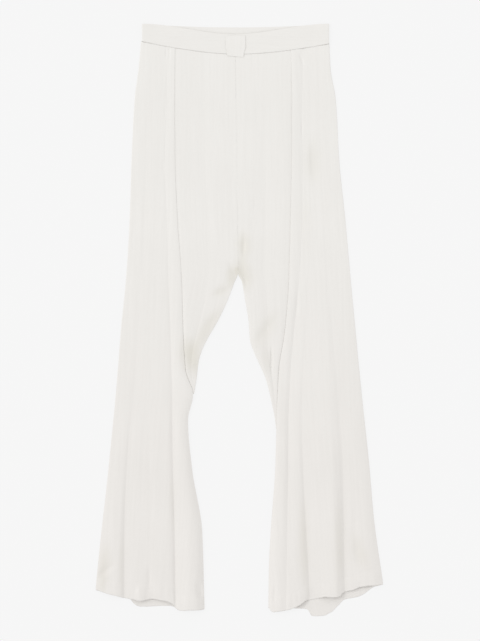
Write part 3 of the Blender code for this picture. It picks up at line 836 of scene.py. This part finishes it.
def sewBand(name, firstX, lastX, face, turnedFirst, turnedLast):
    middle = (waistband["sideZ"] + waistband["backZ"]) / 2
    upward = 1 if face == "front" else -1
    start = firstX + bandInset if turnedFirst else firstX
    stop = lastX - bandInset if turnedLast else lastX
    steps = int(meshSteps["bandAcross"] * (stop - start) / (2 * waistband["half"]))
    line = [(t, middle + upward * bandBend) for t in turn(start, stop, steps)]
    angles = turn(upward * waistband["sideTurn"], upward * quarter, meshSteps["bandTurn"])
    if turnedFirst:
        line = bend(start, middle, bandBend, angles, -1)[:-1] + line
    if turnedLast:
        line = line + bend(stop, middle, bandBend, angles[::-1], 1)[1:]
    x = np.array([[p[0] for p in line]])
    z = np.array([[p[1] for p in line]])
    share = np.linspace(0, 1, meshSteps["bandDown"] + 1)[:, None]
    if face == "front":
        depth, z = mix(frontTop(x), frontSeam(x), share), frontBandZ(x, share, z)
    else:
        depth, z = mix(backTop(x), backSeam(x), share), z + 0 * share
    piece = sewSheet(name, x + 0 * share, depth, z, waistband["wall"], cutAlong=True)
    return roundEdges(piece, waistband["roll"])


# The tab narrows over its lower part, its foot slants a little, and it bends down off the band
tab = {
    "width": 37.0,
    "top": 21.5,
    "bottom": 60.5,
    "narrowing": 3.2,  # on each side, between these shares of its length
    "narrowFrom": 0.55,
    "narrowTo": 0.85,
    "slant": 1.2,
    "slantFrom": 0.7,
    "wall": 0.8,
    "corner": 0.3,
    "clearance": 0.12,
    "swell": 0.35,
    "topSwell": 0.2,
    "creaseX": 11.5,
    "creaseWidth": 0.9,
    "creaseDepth": 0.35,
    "creaseFrom": 0.5,
    "creaseTo": 0.7,
    "dentUp": 3.0,  # a dent just above the waist seam
    "dentWidth": 1.3,
    "dentDepth": 0.25,
    "drop": 0.3,
    "dropFrom": -1.0,
    "dropTo": 5.0,
}


def sewTab(name):
    share = np.linspace(0, 1, meshSteps["tabDown"] + 1)[:, None]
    side = np.linspace(-1, 1, meshSteps["tabAcross"] + 1)[None, :]
    narrow = tab["narrowing"] * eased(tab["narrowFrom"], tab["narrowTo"], share)
    x = side * (tab["width"] / 2 - narrow)
    slant = tab["slant"] * side * eased(tab["slantFrom"], 1.0, share)
    depth = mix(tab["top"], tab["bottom"], share) + slant
    belowSeam = depth - frontSeam(x)
    onBand = np.clip((depth - frontTop(x)) / (frontSeam(x) - frontTop(x)), 0, 1)
    walls = (waistband["wall"] + tab["wall"]) / 2
    bandZ = frontBandZ(x, onBand, waistband["sideZ"]) + walls + tab["clearance"]
    swell = tab["swell"] * np.sin(np.pi * share) + tab["topSwell"] * np.cos(np.pi * side) * (1 - share)
    crease = tab["creaseDepth"] * np.exp(-(((x - tab["creaseX"]) / tab["creaseWidth"]) ** 2))
    crease = crease * eased(tab["creaseFrom"], tab["creaseTo"], share)
    dent = tab["dentDepth"] * np.exp(-(((belowSeam + tab["dentUp"]) / tab["dentWidth"]) ** 2))
    drop = tab["drop"] * eased(tab["dropFrom"], tab["dropTo"], belowSeam)
    z = bandZ + np.maximum(swell - crease - dent, 0) - drop
    piece = sewSheet(name, x + 0 * share, depth, z, tab["wall"])
    return roundEdges(piece, tab["corner"])


# the pieces, each in place of its solid
pieces = {}
for leg, side in ((rightLeg, "right"), (leftLeg, "left")):
    pieces[f"{side}_leg_panel"] = sewLeg(leg, f"{side}_leg_satin")
    pieces[f"{side}_front_gore"] = sewFrontGore(leg, f"{side}_front_gore_satin")
    pieces[f"{side}_back_gore"] = sewBackGore(leg, f"{side}_back_gore_satin")
    print(side, "leg and gores sewn")

bands = {
    "waistband_front_right": (-waistband["half"], -cloth["seamGap"] / 2, "front", True, False),
    "waistband_front_left": (cloth["seamGap"] / 2, waistband["half"], "front", False, True),
    "waistband_back": (-waistband["half"], waistband["half"], "back", True, True),
}
for node, cut in bands.items():
    pieces[node] = sewBand(f"{node}_satin", *cut)
pieces["front_tab"] = sewTab("front_tab_satin")
print("waistband and tab sewn")


# materials: a wire carries one value, and arithmetic on it adds Math nodes
class Wire:
    def __init__(self, recipe, socket):
        self.recipe, self.socket = recipe, socket

    def math(self, operation, first, second):
        return self.recipe.node("ShaderNodeMath", {"operation": operation}, {0: first, 1: second})

    def __add__(self, other):
        return self.math("ADD", self, other)

    def __mul__(self, other):
        return self.math("MULTIPLY", self, other)

    def __sub__(self, other):
        return self.math("SUBTRACT", self, other)

    def __rsub__(self, other):
        return self.math("SUBTRACT", other, self)

    __radd__, __rmul__ = __add__, __mul__


class Recipe:
    def __init__(self, name):
        self.material = bpy.data.materials.new(name)
        self.material.use_nodes = True
        self.tree = self.material.node_tree
        self.tree.nodes.clear()

    def node(self, kind, settings=None, inputs=None, output=0):
        made = self.tree.nodes.new(kind)
        for key, value in (settings or {}).items():
            if key == "stops":
                for i, (place, colour) in enumerate(value):
                    stop = made.color_ramp.elements[i] if i < 2 else made.color_ramp.elements.new(place)
                    stop.position, stop.color = place, colour
            else:
                setattr(made, key, value)
        for key, value in (inputs or {}).items():
            if isinstance(value, Wire):
                self.tree.links.new(value.socket, made.inputs[key])
            else:
                made.inputs[key].default_value = value
        return Wire(self, made.outputs[output]) if len(made.outputs) else None


# The satin's colours and finish; its sizes are in metres, as its cut is in the UV map
satin = {
    "pale": (0.836, 0.820, 0.791, 1.0),
    "deep": (0.800, 0.7835, 0.753, 1.0),
    "paleAt": 0.7,
    "deepAt": 0.3,
    "streakShade": 0.45,
    "threadShade": 0.2,
    "patchShade": 0.35,
    "patches": 9.0,
    "streakWidth": 0.0045,
    "streakLength": 0.14,
    "threadsAcross": 4,  # threads in the width of a streak, and in its length
    "threadsAlong": 3,
    "weave": 0.00042,
    "weaveDensity": 0.16,  # scale of the Wave node for a weave one metre wide
    "weaveDepth": 0.00003,
    "streakDepth": 0.00018,
    "bandStreakDepth": 0.000072,
    "threadDepth": 0.3,  # as a share of a streak's
    "roughness": 0.42,
    "bandRoughness": 0.48,
    "roughnessChange": 0.12,
}


def satinMaterial(name, roughness, streakDepth):
    recipe = Recipe(name)
    cut = recipe.node("ShaderNodeTexCoord", output="UV")
    streaks = (1 / satin["streakWidth"], 1 / satin["streakLength"], 1)
    threads = (satin["threadsAcross"] * streaks[0], satin["threadsAlong"] * streaks[1], 1)
    coarse = recipe.node("ShaderNodeMapping", {}, {"Vector": cut, "Scale": streaks})
    streak = recipe.node(
        "ShaderNodeTexNoise", {}, {"Vector": coarse, "Scale": 1.0, "Detail": 3.0, "Roughness": 0.55}
    )
    fine = recipe.node("ShaderNodeMapping", {}, {"Vector": cut, "Scale": threads})
    thread = recipe.node("ShaderNodeTexNoise", {}, {"Vector": fine, "Scale": 1.0, "Detail": 2.0})
    patch = recipe.node("ShaderNodeTexNoise", {}, {"Vector": cut, "Scale": satin["patches"], "Detail": 2.0})
    twill = recipe.node(
        "ShaderNodeTexWave",
        {"wave_type": "BANDS", "bands_direction": "DIAGONAL"},
        {"Vector": cut, "Scale": satin["weaveDensity"] / satin["weave"], "Distortion": 0.6, "Detail": 1.0},
    )
    shade = streak * satin["streakShade"] + thread * satin["threadShade"] + patch * satin["patchShade"]
    stops = ((satin["deepAt"], satin["deep"]), (satin["paleAt"], satin["pale"]))
    colour = recipe.node("ShaderNodeValToRGB", {"stops": stops}, {"Fac": shade})
    # multiplied into the colour: the rosy tint, then the painted shade
    for tint, tintColour in tints.items():
        share = recipe.node("ShaderNodeAttribute", {"attribute_name": tint}, {}, output=2)
        multiply = {"data_type": "RGBA", "blend_type": "MULTIPLY"}
        colour = recipe.node("ShaderNodeMix", multiply, {0: share, 6: colour, 7: tintColour}, output=2)
    threadDepth = satin["threadDepth"] * streakDepth
    relief = streak * streakDepth + thread * threadDepth + twill * satin["weaveDepth"]
    normal = recipe.node("ShaderNodeBump", {}, {"Height": relief, "Distance": 1.0, "Strength": 1.0})
    shader = recipe.node(
        "ShaderNodeBsdfPrincipled",
        {},
        {
            "Base Color": colour,
            "Roughness": roughness + satin["roughnessChange"] * (streak - 0.5),
            "Normal": normal,
            "Specular IOR Level": 0.4,
            "Sheen Weight": 0.15,
            "Sheen Roughness": 0.5,
            "Anisotropic": 0.35,
        },
    )
    recipe.node("ShaderNodeOutputMaterial", {}, {"Surface": shader})
    return recipe.material


legSatin = satinMaterial("leg satin", satin["roughness"], satin["streakDepth"])
goreSatin = satinMaterial("gore satin", satin["roughness"], satin["streakDepth"])
bandSatin = satinMaterial("band satin", satin["bandRoughness"], satin["bandStreakDepth"])
print("satins mixed")

finishes = {
    "leg_panel": (legSatin, "trouser_cloth"),
    "gore": (goreSatin, "trouser_cloth"),
    "waistband": (bandSatin, "band_cloth"),
    "tab": (bandSatin, "band_cloth"),
}

# an even pale floor that glows a little, an even surround and one soft light from the left
studio = {
    "floorSize": 12,
    "floorDrop": 0.0003,
    "floorGlow": 0.80,
    "floorTone": (0.12, 0.12, 0.12, 1.0),
    "light": (-2.0, 0.7, 1.5),
    "towards": (-0.76, 0.28, 0.59),
    "power": 0.56,
    "softness": math.radians(22),
    "sky": 0.93,
    "white": (1.0, 1.0, 1.0, 1.0),
}
bpy.ops.mesh.primitive_plane_add(size=studio["floorSize"], location=(0, 0, -studio["floorDrop"]))
floor = bpy.context.object
floor.name = "floor"
paper = Recipe("floor")
glow = paper.node("ShaderNodeEmission", {}, {"Color": studio["white"], "Strength": studio["floorGlow"]})
matt = paper.node("ShaderNodeBsdfDiffuse", {}, {"Color": studio["floorTone"]})
both = paper.node("ShaderNodeAddShader", {}, {0: glow, 1: matt})
paper.node("ShaderNodeOutputMaterial", {}, {"Surface": both})
floor.data.materials.append(paper.material)

for node, piece in pieces.items():
    finish, slot = next(f for key, f in finishes.items() if key in node)
    piece.data.materials.clear()
    piece.data.materials.append(finish)
    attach(piece, "root")
    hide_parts(node)

# camera straight above, framed as in the photo, whose pixels are 1.85 mm wide here
photo = {
    "width": 480,
    "height": 641,
    "pixel": 1.85 * mm,
    "centreColumn": 235.5,
    "topRow": 24.0,
    "distance": 3.6,
    "sensor": 36.0,
}
bpy.ops.object.camera_add(
    location=(
        centreX + (photo["width"] / 2 - photo["centreColumn"]) * photo["pixel"],
        waistY - (photo["height"] / 2 - photo["topRow"]) * photo["pixel"],
        photo["distance"],
    ),
    rotation=(0, 0, 0),
)
camera = bpy.context.object
camera.data.sensor_width = photo["sensor"]
camera.data.lens = photo["sensor"] * photo["distance"] / (photo["height"] * photo["pixel"])
camera.data.clip_end = 100.0
bpy.context.scene.camera = camera

bpy.ops.object.light_add(type="SUN", location=studio["light"])
key = bpy.context.object
key.name = "key"
key.data.energy = studio["power"]
key.data.angle = studio["softness"]
key.rotation_euler = Vector(studio["towards"]).to_track_quat("Z", "Y").to_euler()
world = bpy.data.worlds.new("studio")
world.use_nodes = True
world.node_tree.nodes["Background"].inputs["Color"].default_value = studio["white"]
world.node_tree.nodes["Background"].inputs["Strength"].default_value = studio["sky"]
bpy.context.scene.world = world
bpy.context.scene.view_settings.view_transform = "Standard"
print("camera and studio set")
